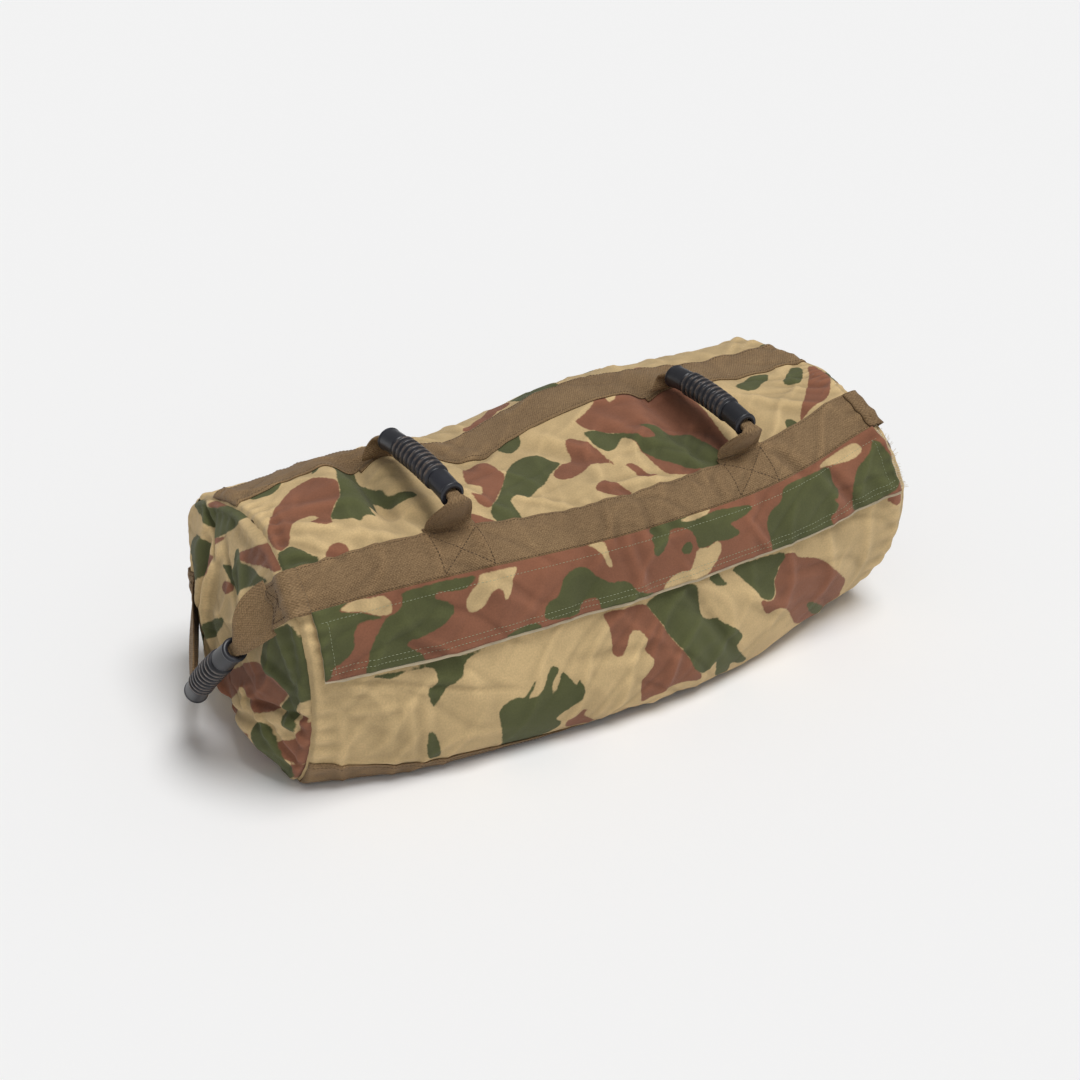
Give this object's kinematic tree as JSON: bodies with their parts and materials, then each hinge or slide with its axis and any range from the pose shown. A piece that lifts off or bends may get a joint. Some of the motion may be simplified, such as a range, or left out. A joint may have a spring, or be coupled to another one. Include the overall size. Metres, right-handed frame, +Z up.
{
  "type": "sandbag trainer",
  "caption": "Camouflage canvas sandbag trainer with webbing straps, ribbed rubber grips on top and at the ends, and a zip under a cover flap; filled with tied sacks of sand.",
  "frame": {"origin": "centre of the bounding box at floor level, under the middle of the bag", "axes": "+X along the bag towards its right end as seen from the front, -Y out of the front face with the zip and its flap, +Z up"},
  "size_m": [0.7442, 0.3018, 0.2705],
  "materials": {
    "canvas": "matte",
    "webbing": "matte",
    "lining": "matte",
    "grip_rubber": "satin",
    "hook_strip": "matte",
    "loop_strip": "matte",
    "zip_tape": "matte",
    "zip_teeth": "satin",
    "zip_metal": "satin",
    "sack_cloth": "matte",
    "sand": "matte",
    "tie_cord": "matte"
  },
  "bodies": {
    "bag": {"barrel_panel": "canvas", "left_end_panel": "canvas", "right_end_panel": "canvas", "top_front_strap": "webbing", "top_back_strap": "webbing", "bottom_front_strap": "webbing", "bottom_back_strap": "webbing", "left_top_handle_front_tab": "webbing", "left_top_handle_back_tab": "webbing", "right_top_handle_front_tab": "webbing", "right_top_handle_back_tab": "webbing", "left_end_handle_front_tab": "webbing", "left_end_handle_back_tab": "webbing", "right_end_handle_front_tab": "webbing", "right_end_handle_back_tab": "webbing", "flap_loop_strip": "loop_strip", "zip_teeth_upper": "zip_teeth", "zip_teeth_lower": "zip_teeth", "zip_tape_upper": "zip_tape", "zip_tape_lower": "zip_tape", "zip_stop_left": "zip_metal", "zip_stop_right": "zip_metal", "filler_sack_1": "sack_cloth", "filler_sack_2": "sack_cloth", "filler_sack_3": "sack_cloth", "sand_fill_1": "sand", "sand_fill_2": "sand", "sand_fill_3": "sand", "neck_tie_1": "tie_cord", "neck_tie_2": "tie_cord", "neck_tie_3": "tie_cord"},
    "flap": {"cover_flap": "canvas", "flap_lining": "lining", "flap_hook_strip": "hook_strip"},
    "slider": {"zip_slider": "zip_metal", "zip_pull": "zip_metal"},
    "left_top_handle": {"left_top_handle_webbing": "webbing", "left_top_handle_grip": "grip_rubber"},
    "right_top_handle": {"right_top_handle_webbing": "webbing", "right_top_handle_grip": "grip_rubber"},
    "left_end_handle": {"left_end_handle_webbing": "webbing", "left_end_handle_grip": "grip_rubber"},
    "right_end_handle": {"right_end_handle_webbing": "webbing", "right_end_handle_grip": "grip_rubber"}
  },
  "joints": [
    {"name": "flap_hinge", "type": "hinge", "parent": "bag", "child": "flap", "pos_m": [0, -0.137, 0.18], "axis": [-0.9997, 0, 0.0238], "range_deg": [0, 120]},
    {"name": "zip_slide", "type": "slide", "parent": "bag", "child": "slider", "axis": [-0.9998, 0, 0.0204], "range_m": [0, 0.52], "deforming": ["zip_teeth_upper", "zip_teeth_lower"]},
    {"name": "left_top_handle_swing", "type": "hinge", "parent": "bag", "child": "left_top_handle", "pos_m": [-0.152, -0.0892, 0.2179], "axis": [0, 0.9979, 0.0647], "range_deg": [-60, 60], "deforming": ["left_top_handle_webbing"]},
    {"name": "right_top_handle_swing", "type": "hinge", "parent": "bag", "child": "right_top_handle", "pos_m": [0.152, -0.0892, 0.2093], "axis": [0, 0.9981, 0.0622], "range_deg": [-60, 60], "deforming": ["right_top_handle_webbing"]},
    {"name": "left_end_handle_swing", "type": "hinge", "parent": "bag", "child": "left_end_handle", "pos_m": [-0.3136, -0.0892, 0.1842], "axis": [0, 0.9025, -0.4306], "range_deg": [-12, 85], "deforming": ["left_end_handle_webbing"]},
    {"name": "right_end_handle_swing", "type": "hinge", "parent": "bag", "child": "right_end_handle", "pos_m": [0.3136, 0.1122, 0.0833], "axis": [0, -0.9155, 0.4023], "range_deg": [-12, 85], "deforming": ["right_end_handle_webbing"]}
  ]
}
